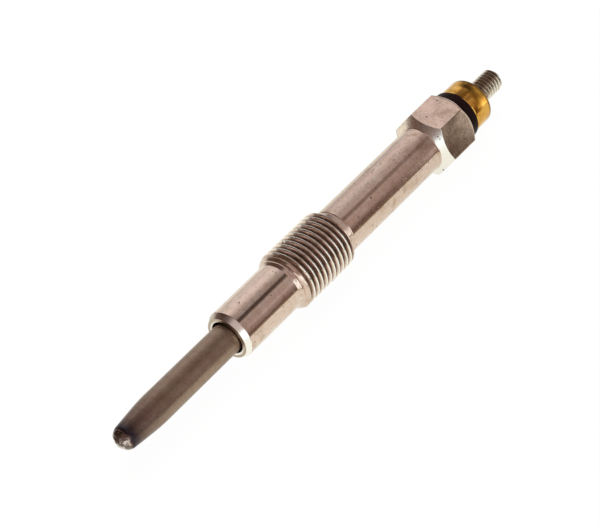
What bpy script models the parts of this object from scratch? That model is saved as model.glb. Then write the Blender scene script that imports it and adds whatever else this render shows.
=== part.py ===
"""A diesel glow plug with an M10 x 1 body, a 10 mm hexagon and an M4 terminal.

The plug lies on one flat of its hexagon. Its axis runs along +X, from the heated tip to the terminal, and
the origin is on the floor under the middle of its length. Every piece is drawn standing on its own axis,
with heights measured from the tip, and a parent empty lays the whole plug down.
"""

import math

import bmesh
import bpy
from mathutils import Euler, Matrix, Vector

# Facets and small gaps
ROUND_STEPS = 48
ROD_STEPS = 32
INNER_STEPS = 24
TURN_STEPS = 10
WIRE_BEVEL_STEPS = 2
CHANNEL_BEVEL_STEPS = 1
DOME_STEPS = 6
EDGE_STEPS = 3
O_RING_SIDES = 10
MERGE_DISTANCE = 1e-7
SEAT_GAP = 0.00005
CUT_MARGIN = 0.0005
SHARP_ANGLE = math.radians(25)

# Heater tube
HEATER_DIAMETER = 0.00492
HEATER_PROJECTION = 0.0241
TIP_DIAMETER = 0.00386
DOME_HEIGHT = 0.0013
SWAGE_LENGTH = 0.0056
SHEATH_WALL = 0.00045
TIP_PLUG_LENGTH = 0.0023
SHEATH_LENGTH = 0.0520

# Shell, outside
SEAT_FACE_DIAMETER = 0.00705
SEAT_LENGTH = 0.00095
LOWER_SHANK_DIAMETER = 0.00805
LOWER_SHANK_LENGTH = 0.0114
THREAD_DIAMETER = 0.00992
THREAD_LENGTH = 0.0124
THREAD_LEAD_LENGTH = 0.0015
THREAD_END_CHAMFER = 0.0003
NECK_DIAMETER = 0.00796
NECK_REAR_DIAMETER = 0.00774
NECK_LENGTH = 0.0012
NECK_GROOVE_WIDTH = 0.0002
NECK_GROOVE_DEPTH = 0.0001
UPPER_SHANK_DIAMETER = 0.00788
UPPER_SHANK_LENGTH = 0.0227
HEX_ACROSS_FLATS = 0.00995
HEX_CORNER_TRIM = 0.00003
HEX_LENGTH = 0.00825
HEX_CONE_ANGLE = math.radians(54)
HEX_END_FACE_DIAMETER = 0.0088
HEX_END_CHAMFER_ANGLE = math.radians(45)

# Shell, inside
NOSE_BORE_DIAMETER = 0.0055
NOSE_BORE_DEPTH = 0.0036
NOSE_LIP_RADIUS = 0.0003
BORE_STEP_LENGTH = 0.0004
GLAND_DIAMETER = 0.0062
GLAND_DEPTH = 0.0042

# Coils inside the heater tube
HEATING_WIRE_DIAMETER = 0.00034
HEATING_COIL_LENGTH = 0.0068
HEATING_COIL_TURNS = 6
REGULATING_WIRE_DIAMETER = 0.00030
REGULATING_COIL_LENGTH = 0.0092
REGULATING_COIL_TURNS = 8
COIL_LEG_LENGTH = 0.0008
COIL_BEND_RADIUS = 0.00035
GRIP_TURNS = 2
GRIP_PITCH = 0.00055

# Centre electrode and terminal
SPIGOT_DIAMETER = 0.0018
SPIGOT_LENGTH = 0.0022
ELECTRODE_DIAMETER = 0.0030
TERMINAL_ROD_DIAMETER = 0.0035
TERMINAL_ROD_LENGTH = 0.0095
STUD_DIAMETER = 0.0039
STUD_PROJECTION = 0.0068
STUD_END_CHAMFER = 0.0007

# Seals, washer and nut
SHEATH_SEAL_LENGTH = 0.0026
WASHER_DIAMETER = 0.0087
WASHER_THICKNESS = 0.0016
WASHER_EDGE_RADIUS = 0.00015
WASHER_SEAT_RADIUS = 0.0002
NUT_DIAMETER = 0.0081
NUT_LENGTH = 0.00415
NUT_EDGE_RADIUS = 0.00045

# Radii and heights that follow from the sizes above
HEATER_RADIUS = HEATER_DIAMETER / 2
SHEATH_INNER_RADIUS = HEATER_RADIUS - SHEATH_WALL
SWAGE_END = DOME_HEIGHT + SWAGE_LENGTH
NOSE = HEATER_PROJECTION
SEAT_END = NOSE + SEAT_LENGTH
THREAD_START = SEAT_END + LOWER_SHANK_LENGTH
THREAD_END = THREAD_START + THREAD_LENGTH
NECK_END = THREAD_END + NECK_LENGTH
HEX_START = NECK_END + UPPER_SHANK_LENGTH
HEX_END = HEX_START + HEX_LENGTH
HEX_CORNER_RADIUS = HEX_ACROSS_FLATS / math.sqrt(3) - HEX_CORNER_TRIM
WASHER_START = HEX_END + SEAT_GAP
WASHER_END = WASHER_START + WASHER_THICKNESS
NUT_START = WASHER_END + SEAT_GAP
NUT_END = NUT_START + NUT_LENGTH
STUD_END = NUT_END + STUD_PROJECTION
GLAND_FLOOR = HEX_END - GLAND_DEPTH
BORE_RADIUS = HEATER_RADIUS + SEAT_GAP
GLAND_RADIUS = GLAND_DIAMETER / 2
O_RING_INNER_RADIUS = TERMINAL_ROD_DIAMETER / 2 + SEAT_GAP
O_RING_SECTION_RADIUS = (GLAND_RADIUS - SEAT_GAP - O_RING_INNER_RADIUS) / 2
O_RING_HEIGHT = GLAND_FLOOR + SEAT_GAP + O_RING_SECTION_RADIUS
BOSS_START = O_RING_HEIGHT + O_RING_SECTION_RADIUS + SEAT_GAP
STUD_RADIUS = STUD_DIAMETER / 2
STUD_HOLE_RADIUS = STUD_RADIUS + SEAT_GAP
ROD_START = NUT_START - TERMINAL_ROD_LENGTH
COIL_RADIUS = SPIGOT_DIAMETER / 2 + SEAT_GAP + REGULATING_WIRE_DIAMETER / 2
COIL_WELD_ANGLE = 2 * math.atan2(COIL_BEND_RADIUS, COIL_RADIUS)
COIL_START = TIP_PLUG_LENGTH + COIL_LEG_LENGTH
COIL_JOINT = COIL_START + HEATING_COIL_LENGTH + COIL_LEG_LENGTH
REGULATING_START = COIL_JOINT + COIL_LEG_LENGTH
SPIGOT_START = REGULATING_START + REGULATING_COIL_LENGTH
ELECTRODE_START = SPIGOT_START + SPIGOT_LENGTH
SEAL_START = SHEATH_LENGTH - SHEATH_SEAL_LENGTH
AXIS_HEIGHT = HEX_ACROSS_FLATS / 2


def clear_scene():
    for item in list(bpy.data.objects):
        bpy.data.objects.remove(item, do_unlink=True)


def new_collection(name):
    collection = bpy.data.collections.new(name)
    bpy.context.scene.collection.children.link(collection)
    return collection


def make_material(name, colour, metallic, roughness):
    material = bpy.data.materials.new(name)
    material.use_nodes = True
    material.diffuse_color = (*colour, 1.0)
    shader = material.node_tree.nodes["Principled BSDF"]
    shader.inputs["Base Color"].default_value = (*colour, 1.0)
    shader.inputs["Metallic"].default_value = metallic
    shader.inputs["Roughness"].default_value = roughness
    return material


def add_object(name, data, collection, parent):
    """Places a mesh or a curve in a collection, under the empty that lays the plug down."""
    item = bpy.data.objects.new(name, data)
    collection.objects.link(item)
    item.parent = parent
    return item


def turned(name, outline, steps, collection, parent):
    """Turns a closed outline of (radius, height) points, which runs down its outer side.

    Two neighbouring points on the axis have no edge between them, so the solid closes there.
    """
    mesh = bpy.data.meshes.new(name)
    points = [(radius, 0.0, height) for radius, height in outline]
    edges = []
    for index in range(len(points)):
        following = (index + 1) % len(points)
        if points[index][0] > 0 or points[following][0] > 0:
            edges.append((index, following))
    mesh.from_pydata(points, edges, [])
    item = add_object(name, mesh, collection, parent)
    screw = item.modifiers.new("turn", "SCREW")
    screw.axis = "Z"
    screw.angle = math.tau
    screw.steps = steps
    screw.render_steps = steps
    screw.use_merge_vertices = True
    screw.merge_threshold = MERGE_DISTANCE
    return item


def arc(centre_radius, centre_height, radius, start, end, steps):
    """Points of an arc in the outline's plane. Angles run from straight outwards, towards the terminal."""
    points = []
    for step in range(steps + 1):
        angle = math.radians(start + (end - start) * step / steps)
        points.append((centre_radius + radius * math.cos(angle), centre_height + radius * math.sin(angle)))
    return points


def as_cutter(item):
    item.hide_render = True
    item.display_type = "WIRE"
    return item


def cut(item, cutter):
    boolean = item.modifiers.new("cut", "BOOLEAN")
    boolean.operation = "DIFFERENCE"
    boolean.object = cutter


def to_mesh(item):
    """Replaces an object's shape with its evaluated mesh, with a curve's caps welded on."""
    bpy.context.view_layer.update()
    evaluated = item.evaluated_get(bpy.context.evaluated_depsgraph_get())
    mesh = bpy.data.meshes.new_from_object(evaluated)
    welded = bmesh.new()
    welded.from_mesh(mesh)
    bmesh.ops.remove_doubles(welded, verts=welded.verts, dist=MERGE_DISTANCE)
    welded.to_mesh(mesh)
    welded.free()
    solid = bpy.data.objects.new(item.name, mesh)
    item.users_collection[0].objects.link(solid)
    solid.parent = item.parent
    name = item.name
    bpy.data.objects.remove(item, do_unlink=True)
    solid.name = name
    return solid


def finish(item, material):
    """Applies the modifiers, marks the hard edges of the final faces and gives the piece its material."""
    item = to_mesh(item)
    item.data.name = item.name
    item.data.shade_smooth()
    item.data.set_sharp_from_angle(angle=SHARP_ANGLE)
    item.data.materials.clear()
    item.data.materials.append(material)
    return item


def wire(name, points, diameter, bevel_steps, collection, parent):
    """A round wire along a list of points, closed at both ends."""
    curve = bpy.data.curves.new(name, "CURVE")
    curve.dimensions = "3D"
    curve.bevel_depth = diameter / 2
    curve.bevel_resolution = bevel_steps
    curve.use_fill_caps = True
    spline = curve.splines.new("POLY")
    spline.points.add(len(points) - 1)
    for place, point in zip(spline.points, points):
        place.co = (*point, 1.0)
    return add_object(name, curve, collection, parent)


def sheath_outer(height):
    """Radius of the heater tube's outside in the swaged stretch behind the weld."""
    share = min(max((height - DOME_HEIGHT) / SWAGE_LENGTH, 0.0), 1.0)
    return TIP_DIAMETER / 2 + (HEATER_RADIUS - TIP_DIAMETER / 2) * share


def sheath_inside(gap):
    """The inside of the closed tube, from its rear end to the tip, kept back by a gap."""
    floor = TIP_PLUG_LENGTH + gap
    swaged = sheath_outer(TIP_PLUG_LENGTH) - SHEATH_WALL - gap
    return [(SHEATH_INNER_RADIUS - gap, SWAGE_END), (swaged, floor)]


def heater_sheath(collection, parent):
    """The heater tube: swaged towards the tip, closed there by a domed weld and open at its rear end."""
    rim = TIP_DIAMETER / 2
    dome_radius = (rim ** 2 + DOME_HEIGHT ** 2) / (2 * DOME_HEIGHT)
    half_angle = math.degrees(math.asin(min(rim / dome_radius, 1.0)))
    dome = arc(0.0, dome_radius, dome_radius, half_angle - 90, -90, DOME_STEPS)
    dome[-1] = (0.0, 0.0)
    outside = [(HEATER_RADIUS, SHEATH_LENGTH), (HEATER_RADIUS, SWAGE_END)] + dome
    inside = sheath_inside(0.0)
    inside.append((0.0, TIP_PLUG_LENGTH))
    inside.reverse()
    inside.append((SHEATH_INNER_RADIUS, SHEATH_LENGTH))
    return turned("heater_sheath", outside + inside, ROD_STEPS, collection, parent)


def helix(radius, start, length, turns, angle):
    """Points of a coil's turns, with TURN_STEPS points in each turn."""
    count = round(turns * TURN_STEPS)
    points = []
    for index in range(count + 1):
        turn = angle + math.tau * turns * index / count
        height = start + length * index / count
        points.append(Vector((radius * math.cos(turn), radius * math.sin(turn), height)))
    return points


def leg(end, before, direction, length):
    """A bend from a coil's end into a straight leg along the axis. direction is 1 up or -1 down."""
    along = end - before
    along.z = 0.0
    along.normalize()
    up = Vector((0.0, 0.0, direction))
    points = []
    for step in range(1, EDGE_STEPS + 1):
        angle = math.pi / 2 * step / EDGE_STEPS
        forward = along * COIL_BEND_RADIUS * math.sin(angle)
        points.append(end + forward + up * COIL_BEND_RADIUS * (1 - math.cos(angle)))
    points.append(points[-1] + up * (length - COIL_BEND_RADIUS))
    return points


def heating_path(spare):
    """The heating coil with a leg at each end. spare lengthens its legs, for the channel in the powder."""
    turns = helix(COIL_RADIUS, COIL_START, HEATING_COIL_LENGTH, HEATING_COIL_TURNS, 0.0)
    length = COIL_LEG_LENGTH - SEAT_GAP + spare
    front = leg(turns[0], turns[1], -1, length)
    rear = leg(turns[-1], turns[-2], 1, length)
    front.reverse()
    return front + turns + rear


def regulating_path(spare):
    """The regulating coil: a leg, the open turns, and close turns on the electrode's spigot.

    It starts where its leg stands in line with the heating coil's rear leg, which it is welded to.
    """
    length = REGULATING_COIL_LENGTH
    turns = helix(COIL_RADIUS, REGULATING_START, length, REGULATING_COIL_TURNS, COIL_WELD_ANGLE)
    grip_angle = COIL_WELD_ANGLE + math.tau * REGULATING_COIL_TURNS
    grip = helix(COIL_RADIUS, SPIGOT_START, GRIP_TURNS * GRIP_PITCH, GRIP_TURNS, grip_angle)
    front = leg(turns[0], turns[1], -1, COIL_LEG_LENGTH - SEAT_GAP + spare)
    front.reverse()
    return front + turns + grip[1:]


def insulating_powder(collection, cutters, parent):
    """The powder that fills the tube, with the channels that the coils lie in and the electrode's hole."""
    hole = ELECTRODE_DIAMETER / 2 + SEAT_GAP
    spigot = SPIGOT_DIAMETER / 2 + SEAT_GAP
    top = SEAL_START - SEAT_GAP
    outside = [(SHEATH_INNER_RADIUS - SEAT_GAP, top)] + sheath_inside(SEAT_GAP)
    outside.append((0.0, TIP_PLUG_LENGTH + SEAT_GAP))
    inside = [(0.0, SPIGOT_START - SEAT_GAP), (spigot, SPIGOT_START - SEAT_GAP)]
    inside += [(spigot, ELECTRODE_START - SEAT_GAP), (hole, ELECTRODE_START - SEAT_GAP), (hole, top)]
    item = turned("insulating_powder", outside + inside, INNER_STEPS, collection, parent)
    channels = (
        ("heating_channel", heating_path(CUT_MARGIN), HEATING_WIRE_DIAMETER),
        ("regulating_channel", regulating_path(CUT_MARGIN), REGULATING_WIRE_DIAMETER),
    )
    for name, path, diameter in channels:
        channel = wire(name, path, diameter + 2 * SEAT_GAP, CHANNEL_BEVEL_STEPS, cutters, parent)
        cut(item, as_cutter(to_mesh(channel)))
    return item


def centre_electrode(collection, parent):
    """The terminal rod, from the spigot that the coil grips to the end of the M4 stud."""
    rod = ELECTRODE_DIAMETER / 2
    terminal = TERMINAL_ROD_DIAMETER / 2
    step = terminal - rod
    stud_step = STUD_RADIUS - terminal
    outline = [
        (0.0, STUD_END),
        (STUD_RADIUS - STUD_END_CHAMFER, STUD_END),
        (STUD_RADIUS, STUD_END - STUD_END_CHAMFER),
        (STUD_RADIUS, BOSS_START + stud_step),
        (terminal, BOSS_START),
        (terminal, ROD_START + step),
        (rod, ROD_START),
        (rod, ELECTRODE_START),
        (SPIGOT_DIAMETER / 2, ELECTRODE_START),
        (SPIGOT_DIAMETER / 2, SPIGOT_START),
        (0.0, SPIGOT_START),
    ]
    return turned("centre_electrode", outline, ROD_STEPS, collection, parent)


def shell_outline():
    """The shell's whole section: down its outside from the hexagon to the nose, and up its bore."""
    lower = LOWER_SHANK_DIAMETER / 2
    upper = UPPER_SHANK_DIAMETER / 2
    neck = NECK_DIAMETER / 2
    neck_rear = NECK_REAR_DIAMETER / 2
    crest = THREAD_DIAMETER / 2
    corner = HEX_CORNER_RADIUS
    end_face = HEX_END_FACE_DIAMETER / 2
    nose_bore = NOSE_BORE_DIAMETER / 2
    chamfer = (corner - end_face) * math.tan(HEX_END_CHAMFER_ANGLE)
    cone = (corner - upper) / math.tan(HEX_CONE_ANGLE)
    groove = upper - NECK_GROOVE_DEPTH
    outside = [
        (end_face, HEX_END),
        (corner, HEX_END - chamfer),
        (corner, HEX_START + cone),
        (upper, HEX_START),
        (upper, NECK_END + NECK_GROOVE_WIDTH),
        (groove, NECK_END + NECK_GROOVE_WIDTH / 2),
        (neck_rear, NECK_END),
        (neck, THREAD_END),
        (crest - THREAD_END_CHAMFER, THREAD_END),
        (crest, THREAD_END - THREAD_END_CHAMFER),
        (crest, THREAD_START + THREAD_LEAD_LENGTH),
        (lower, THREAD_START),
        (lower, SEAT_END),
        (SEAT_FACE_DIAMETER / 2, NOSE),
    ]
    lip = arc(nose_bore + NOSE_LIP_RADIUS, NOSE + NOSE_LIP_RADIUS, NOSE_LIP_RADIUS, 270, 180, EDGE_STEPS)
    inside = lip + [
        (nose_bore, NOSE + NOSE_BORE_DEPTH),
        (BORE_RADIUS, NOSE + NOSE_BORE_DEPTH + BORE_STEP_LENGTH),
        (BORE_RADIUS, GLAND_FLOOR),
        (GLAND_RADIUS, GLAND_FLOOR),
        (GLAND_RADIUS, HEX_END),
    ]
    return outside + inside


def shell(collection, cutters, parent):
    """The one-piece body. A ring with a hexagonal hole mills the six flats off its turned collar."""
    item = turned("shell", shell_outline(), ROUND_STEPS, collection, parent)
    height = HEX_LENGTH + 2 * CUT_MARGIN
    middle = HEX_START + HEX_LENGTH / 2
    ring = prism("flats_ring", ROUND_STEPS, 2 * HEX_CORNER_RADIUS, height, middle, cutters, parent)
    core = prism("flats_core", 6, HEX_ACROSS_FLATS / math.sqrt(3), 2 * height, middle, cutters, parent)
    cut(as_cutter(ring), as_cutter(core))
    cut(item, ring)
    return item


def prism(name, sides, radius, height, middle, collection, parent):
    """A regular prism round the axis, with a flat facing straight down when it has six sides."""
    mesh = bpy.data.meshes.new(name)
    shape = bmesh.new()
    bmesh.ops.create_cone(
        shape, cap_ends=True, segments=sides, radius1=radius, radius2=radius, depth=height,
        matrix=Matrix.Translation((0.0, 0.0, middle)),
    )
    shape.to_mesh(mesh)
    shape.free()
    return add_object(name, mesh, collection, parent)


def sheath_seal(collection, parent):
    """The rubber ring in the rear end of the heater tube, round the electrode."""
    inner = ELECTRODE_DIAMETER / 2 + SEAT_GAP
    outer = SHEATH_INNER_RADIUS - SEAT_GAP
    outline = [(inner, SHEATH_LENGTH), (outer, SHEATH_LENGTH), (outer, SEAL_START), (inner, SEAL_START)]
    return turned("sheath_seal", outline, INNER_STEPS, collection, parent)


def o_ring(collection, parent):
    """The body seal, which fills the gland between the terminal rod and the shell."""
    middle = O_RING_INNER_RADIUS + O_RING_SECTION_RADIUS
    outline = arc(middle, O_RING_HEIGHT, O_RING_SECTION_RADIUS, 180, -180, O_RING_SIDES)
    return turned("o_ring", outline[:-1], INNER_STEPS, collection, parent)


def insulating_washer(collection, parent):
    """The flanged insulator. Its boss sits in the gland, and its flange on the hexagon's end face."""
    flange = WASHER_DIAMETER / 2
    boss = GLAND_RADIUS - SEAT_GAP
    edge = WASHER_EDGE_RADIUS
    seat = WASHER_SEAT_RADIUS
    outline = [(STUD_HOLE_RADIUS, WASHER_END)]
    outline += arc(flange - edge, WASHER_END - edge, edge, 90, 0, EDGE_STEPS)
    outline += arc(flange - seat, WASHER_START + seat, seat, 0, -90, EDGE_STEPS)
    outline += [(boss, WASHER_START), (boss, BOSS_START), (STUD_HOLE_RADIUS, BOSS_START)]
    return turned("insulating_washer", outline, ROUND_STEPS, collection, parent)


def round_nut(collection, parent):
    """The round nut on the terminal thread, with rounded outer edges."""
    outer = NUT_DIAMETER / 2
    edge = NUT_EDGE_RADIUS
    outline = [(STUD_HOLE_RADIUS, NUT_END)]
    outline += arc(outer - edge, NUT_END - edge, edge, 90, 0, EDGE_STEPS)
    outline += arc(outer - edge, NUT_START + edge, edge, 0, -90, EDGE_STEPS)
    outline.append((STUD_HOLE_RADIUS, NUT_START))
    return turned("round_nut", outline, ROUND_STEPS, collection, parent)


def laid_down_axis(collection):
    """The empty that turns every piece from standing on its tip to lying along +X."""
    axis = bpy.data.objects.new("plug_axis", None)
    collection.objects.link(axis)
    axis.location = (-STUD_END / 2, 0.0, AXIS_HEIGHT)
    axis.rotation_euler = Euler((0.0, math.pi / 2, 0.0))
    return axis


def build():
    clear_scene()
    parts = new_collection("glow_plug")
    cutters = new_collection("glow_plug_cutters")
    axis = laid_down_axis(parts)

    nickel = make_material("nickel_plate", (0.60, 0.54, 0.50), 1.0, 0.28)
    sheath = make_material("heat_resisting_steel", (0.20, 0.15, 0.12), 1.0, 0.38)
    black = make_material("black_polyamide", (0.012, 0.011, 0.011), 0.0, 0.30)
    brass = make_material("brass", (0.72, 0.44, 0.12), 1.0, 0.18)
    steel = make_material("terminal_steel", (0.40, 0.36, 0.33), 1.0, 0.32)
    heating = make_material("heating_wire", (0.45, 0.38, 0.33), 1.0, 0.40)
    regulating = make_material("regulating_wire", (0.36, 0.36, 0.38), 1.0, 0.35)
    powder = make_material("magnesium_oxide", (0.80, 0.78, 0.74), 0.0, 0.90)
    seal = make_material("seal_rubber", (0.03, 0.03, 0.03), 0.0, 0.60)
    ring = make_material("ring_rubber", (0.02, 0.02, 0.02), 0.0, 0.55)

    finish(shell(parts, cutters, axis), nickel)
    finish(heater_sheath(parts, axis), sheath)
    finish(insulating_powder(parts, cutters, axis), powder)
    heating_coil = wire(
        "heating_coil", heating_path(0.0), HEATING_WIRE_DIAMETER, WIRE_BEVEL_STEPS, parts, axis,
    )
    finish(heating_coil, heating)
    regulating_coil = wire(
        "regulating_coil", regulating_path(0.0), REGULATING_WIRE_DIAMETER, WIRE_BEVEL_STEPS, parts, axis,
    )
    finish(regulating_coil, regulating)
    finish(centre_electrode(parts, axis), steel)
    finish(sheath_seal(parts, axis), seal)
    finish(o_ring(parts, axis), ring)
    finish(insulating_washer(parts, axis), black)
    finish(round_nut(parts, axis), brass)


build()
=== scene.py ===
"""The looks of the diesel glow plug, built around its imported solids, in metres.

The plug lies along X. A place on it is a height, measured from the heated tip towards the terminal, a
radius, and an angle round the axis, measured from straight up towards the front (-Y).
"""

import math

import bmesh
import bpy
from mathutils import Matrix, Vector, noise


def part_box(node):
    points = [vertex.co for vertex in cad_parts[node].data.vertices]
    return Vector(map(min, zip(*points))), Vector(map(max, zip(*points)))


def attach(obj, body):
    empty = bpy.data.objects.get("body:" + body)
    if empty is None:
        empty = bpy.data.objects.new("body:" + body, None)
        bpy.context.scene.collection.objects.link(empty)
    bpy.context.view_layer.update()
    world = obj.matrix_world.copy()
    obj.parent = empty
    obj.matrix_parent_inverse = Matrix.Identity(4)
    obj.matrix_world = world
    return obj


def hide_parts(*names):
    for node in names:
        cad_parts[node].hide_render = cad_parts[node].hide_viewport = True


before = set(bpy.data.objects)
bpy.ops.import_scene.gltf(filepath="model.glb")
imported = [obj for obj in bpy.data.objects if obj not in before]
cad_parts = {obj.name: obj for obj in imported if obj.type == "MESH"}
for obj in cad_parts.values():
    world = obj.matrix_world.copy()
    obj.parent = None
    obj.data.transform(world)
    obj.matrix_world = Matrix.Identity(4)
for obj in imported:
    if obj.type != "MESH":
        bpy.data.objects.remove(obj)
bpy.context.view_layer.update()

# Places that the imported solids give
TIP_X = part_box("heater_sheath")[0].x
AXIS_Z = (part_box("round_nut")[0].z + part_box("round_nut")[1].z) / 2
SHEATH_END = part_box("heater_sheath")[1].x - TIP_X
HEATER_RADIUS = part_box("heater_sheath")[1].y
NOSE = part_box("shell")[0].x - TIP_X
HEX_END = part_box("shell")[1].x - TIP_X
HEX_CORNER_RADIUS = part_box("shell")[1].y
FLAT_RADIUS = (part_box("shell")[1].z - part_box("shell")[0].z) / 2
BOSS_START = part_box("insulating_washer")[0].x - TIP_X
WASHER_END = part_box("insulating_washer")[1].x - TIP_X
WASHER_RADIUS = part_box("insulating_washer")[1].y
NUT_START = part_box("round_nut")[0].x - TIP_X
NUT_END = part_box("round_nut")[1].x - TIP_X
NUT_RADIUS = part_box("round_nut")[1].y
SPIGOT_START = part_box("centre_electrode")[0].x - TIP_X
STUD_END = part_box("centre_electrode")[1].x - TIP_X
STUD_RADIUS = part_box("centre_electrode")[1].y

# Heater tube
TIP_RADIUS = 0.00193
DOME_HEIGHT = 0.0013
SWAGE_END = 0.0069
SHEATH_WALL = 0.00045
TIP_PLUG_LENGTH = 0.0023
WELD_RADIUS = 0.00178
WELD_HEIGHT = DOME_HEIGHT - 0.00012
WELD_LIFT = 0.00016
LUMP_HEIGHT = 0.00013
LUMPS_PER_METRE = 900.0
RIPPLE_HEIGHT = 0.00006
RIPPLES_PER_METRE = 2400.0
RIPPLE_SHIFT = Vector((5.0, 2.0, 1.0))

# Shell, outside
SEAT_FACE_RADIUS = 0.003525
SEAT_LENGTH = 0.00095
LOWER_RADIUS = 0.004025
LOWER_LENGTH = 0.0114
THREAD_RADIUS = 0.00496
THREAD_PITCH = 0.001
THREAD_LENGTH = 0.0124
THREAD_LEAD = 0.0015
THREAD_CHAMFER = 0.0003
CREST_AT_FRONT = 0.03764
CREST_ANGLE = math.radians(32)
LEAD_MARK_PITCH = 0.00027
NECK_RADIUS = 0.00398
NECK_REAR_RADIUS = 0.00387
NECK_LENGTH = 0.0012
GROOVE_WIDTH = 0.0002
GROOVE_DEPTH = 0.0001
UPPER_RADIUS = 0.00394
HEX_LENGTH = 0.00825
HEX_CONE_ANGLE = math.radians(54)
HEX_FACE_RADIUS = 0.0044

# Shell, inside
NOSE_BORE_RADIUS = 0.00275
NOSE_LIP = 0.0003
NOSE_BORE_DEPTH = 0.0036
BORE_STEP = 0.0004
BORE_RADIUS = 0.00251
GLAND_RADIUS = 0.0031
GLAND_DEPTH = 0.0042

# Centre electrode, washer and nut
SPIGOT_RADIUS = 0.0009
SPIGOT_LENGTH = 0.0022
ELECTRODE_RADIUS = 0.0015
ROD_RADIUS = 0.00175
ROD_LENGTH = 0.0095
STUD_PITCH = 0.0007
STUD_CHAMFER = 0.0007
STUD_HOLE_RADIUS = 0.0020
BOSS_RADIUS = 0.00305
WASHER_THICKNESS = 0.0016
WASHER_EDGE = 0.00015
WASHER_SEAT_EDGE = 0.0002
NUT_EDGE = 0.00045
NUT_COUNTERSINK = 0.00025

# Threads, with their sizes as shares of the pitch
THREAD_DEPTH_SHARE = 0.6134
CREST_HALF_SHARE = 1 / 22
THREAD_SOFTNESS = 0.07
SECTION_STEP = 0.08
FLANK_ANGLE = math.radians(30)

# Fineness
CRISP_EDGE = 0.00004
SEAT_EDGE = 0.00008
LEAD_GUARD = 0.00003
HEX_FILLET = 0.00013
HEX_EDGE = 0.00018
HEX_COLUMN_ANGLE = 2.5
HEX_TRIM_MARGIN = 0.8
SWAGE_BLEND = 0.0014
CORNER_STEPS = 3
DOME_STEPS = 18
ROUND_COLUMNS = 144
STUD_COLUMNS = 96
MERGE_DISTANCE = 1e-7

# Marks, wear, and painted light and shade on the surfaces
CONE_BLEND = 0.0001
CREST_BAND = 0.00004
FLANK_BAND = 0.00016
ROOT_BAND = 0.00046
FRONT_FLAT_ANGLE = math.radians(60)
FRONT_FLAT_INNER = math.radians(29)
FRONT_FLAT_OUTER = math.radians(32)
# Size of the band of painted shade along the nut's top.
DARK_BAND_ANGLE = math.radians(3)
DARK_BAND_INNER = math.radians(5.4)
DARK_BAND_OUTER = math.radians(15.3)
# Painted highlight on the stud's front crests, and painted shade on its top.
CREST_HIGHLIGHT_START = 0.45
CREST_HIGHLIGHT_END = 1.0
TOP_SHADE_INNER = math.radians(15)
TOP_SHADE_OUTER = math.radians(40)

# Floor, with the white sheet that reflections show on it
FLOOR_HALF = 1.5
SHEET_FRONT = -0.054
SHEET_BACK = 0.050
SHEET_BLEND = 0.010
SHEET_SIDE_SLANT = 0.77
SHEET_SIDE_START = 0.0335
SHEET_SIDE_END = 0.0370

# Lamp and camera, with the lens and the sensor in millimetres
LAMP_PLACE = Vector((0.15, 0.20, 0.60))
CAMERA_TARGET = Vector((-0.00473, 0.00044, 0.00520))
CAMERA_DISTANCE = 0.299
CAMERA_AZIMUTH = math.radians(-50.85)
CAMERA_ELEVATION = math.radians(46.90)
CAMERA_ROLL = math.radians(-2.31)
LENS = 120.0
SENSOR = 36.0

# Places worked out from these sizes
THREAD_START = NOSE + SEAT_LENGTH + LOWER_LENGTH
THREAD_END = THREAD_START + THREAD_LENGTH
NECK_END = THREAD_END + NECK_LENGTH
HEX_START = HEX_END - HEX_LENGTH
GLAND_FLOOR = HEX_END - GLAND_DEPTH
WASHER_START = WASHER_END - WASHER_THICKNESS
STUD_THREAD_START = BOSS_START + STUD_RADIUS - ROD_RADIUS


# Lines of points, and the surfaces between them

def even_angles(count):
    return [math.tau * step / count for step in range(count)]


def softened(line, reach=CRISP_EDGE, own=None):
    """A line of (height, radius) points with rounded corners, and a point close by on each side of them.

    The points close by keep smooth shading flat between the corners. own gives some corners, by their place
    in the line, a reach of their own.
    """
    reaches = own or {}
    points = [Vector(place) for place in line]
    result = [points[0]]
    for index in range(1, len(points) - 1):
        corner = points[index]
        back = points[index - 1] - corner
        ahead = points[index + 1] - corner
        size = min(reaches.get(index, reach), 0.3 * back.length, 0.3 * ahead.length)
        back.normalize()
        ahead.normalize()
        result.append(corner + back * size * 1.5)
        for step in range(CORNER_STEPS + 1):
            share = step / CORNER_STEPS
            pull = back * size * (1 - share) ** 2 + ahead * size * share ** 2
            result.append(corner + pull)
        result.append(corner + ahead * size * 1.5)
    result.append(points[-1])
    return result


def arc(height, radius, size, start, end, steps):
    """Points of an arc round (height, radius). Its angles in degrees run from outwards to the terminal."""
    points = []
    for step in range(steps + 1):
        angle = math.radians(start + (end - start) * step / steps)
        points.append((height + size * math.sin(angle), radius + size * math.cos(angle)))
    return points


def add_band(shape, angles, lines, shift=0):
    """Faces between neighbouring lines of (height, radius) points, one line at each angle round the axis.

    The last line joins the first one shift points further along, as a thread needs.
    """
    rings = []
    for angle, line in zip(angles, lines):
        ring = []
        for height, radius in line:
            place = (TIP_X + height, -radius * math.sin(angle), AXIS_Z + radius * math.cos(angle))
            ring.append(shape.verts.new(place))
        rings.append(ring)
    last = len(rings) - 1
    for index, ring in enumerate(rings):
        following = rings[0] if index == last else rings[index + 1]
        offset = shift if index == last else 0
        for low in range(len(ring) - 1 - offset):
            corners = (ring[low], ring[low + 1], following[low + 1 + offset], following[low + offset])
            shape.faces.new(corners)


def turned_band(shape, angles, line):
    add_band(shape, angles, [line] * len(angles))


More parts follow.
